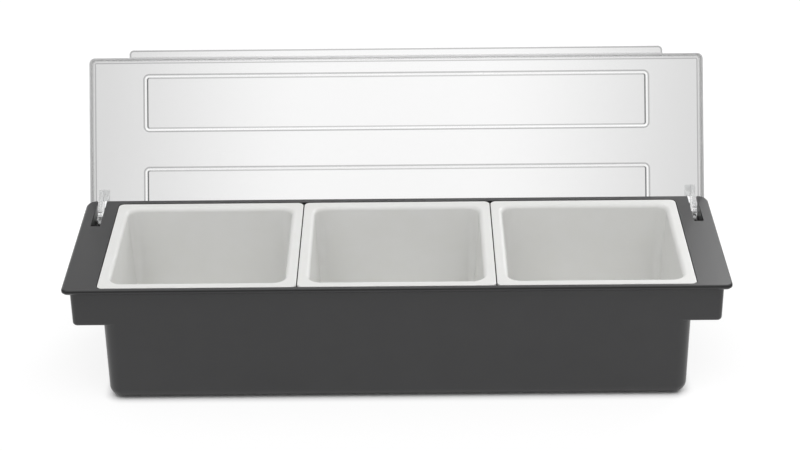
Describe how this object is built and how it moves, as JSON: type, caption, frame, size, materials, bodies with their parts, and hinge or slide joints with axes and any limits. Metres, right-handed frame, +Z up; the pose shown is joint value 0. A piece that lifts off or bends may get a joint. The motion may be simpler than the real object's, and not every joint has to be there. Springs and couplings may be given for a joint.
{
  "type": "bar garnish tray",
  "caption": "Long countertop garnish tray: a dark moulded housing with side ears, lift-out white inserts and a clear hinged lid standing open.",
  "frame": {"origin": "on the surface it stands on, under the middle of the base", "axes": "+Z up, +X along the tray to the right, -Y to the front where the lid opens"},
  "size_m": [0.485, 0.2114, 0.1997],
  "materials": {
    "housing_abs": "fine satin moulded ABS, dark grey",
    "insert_white": "smooth moulded polypropylene, white",
    "lid_clear": "clear formed polycarbonate sheet",
    "clip_clear": "clear moulded polycarbonate",
    "pin_acetal": "smooth black acetal"
  },
  "bodies": {
    "housing": {"housing": "housing_abs"},
    "lid_pivots": {"pivot_pin_left": "pin_acetal", "pivot_pin_right": "pin_acetal"},
    "lid": {"lid": "lid_clear", "hinge_clip_left": "clip_clear", "hinge_clip_right": "clip_clear"},
    "insert_left": {"insert_left": "insert_white"},
    "insert_centre": {"insert_centre": "insert_white"},
    "insert_right": {"insert_right": "insert_white"}
  },
  "joints": [
    {"name": "lid_lift_off", "type": "slide", "parent": "housing", "child": "lid_pivots", "axis": [0, 0.4524, 0.8918], "range_m": [0, 0.05]},
    {"name": "lid_hinge", "type": "hinge", "parent": "lid_pivots", "child": "lid", "pos_m": [0, 0.0577, 0.0831], "axis": [-1, 0, 0], "range_deg": [-116.9, 0]},
    {"name": "insert_left_lift", "type": "slide", "parent": "housing", "child": "insert_left", "axis": [0, 0, 1], "range_m": [0, 0.084]},
    {"name": "insert_centre_lift", "type": "slide", "parent": "housing", "child": "insert_centre", "axis": [0, 0, 1], "range_m": [0, 0.084]},
    {"name": "insert_right_lift", "type": "slide", "parent": "housing", "child": "insert_right", "axis": [0, 0, 1], "range_m": [0, 0.084]}
  ]
}
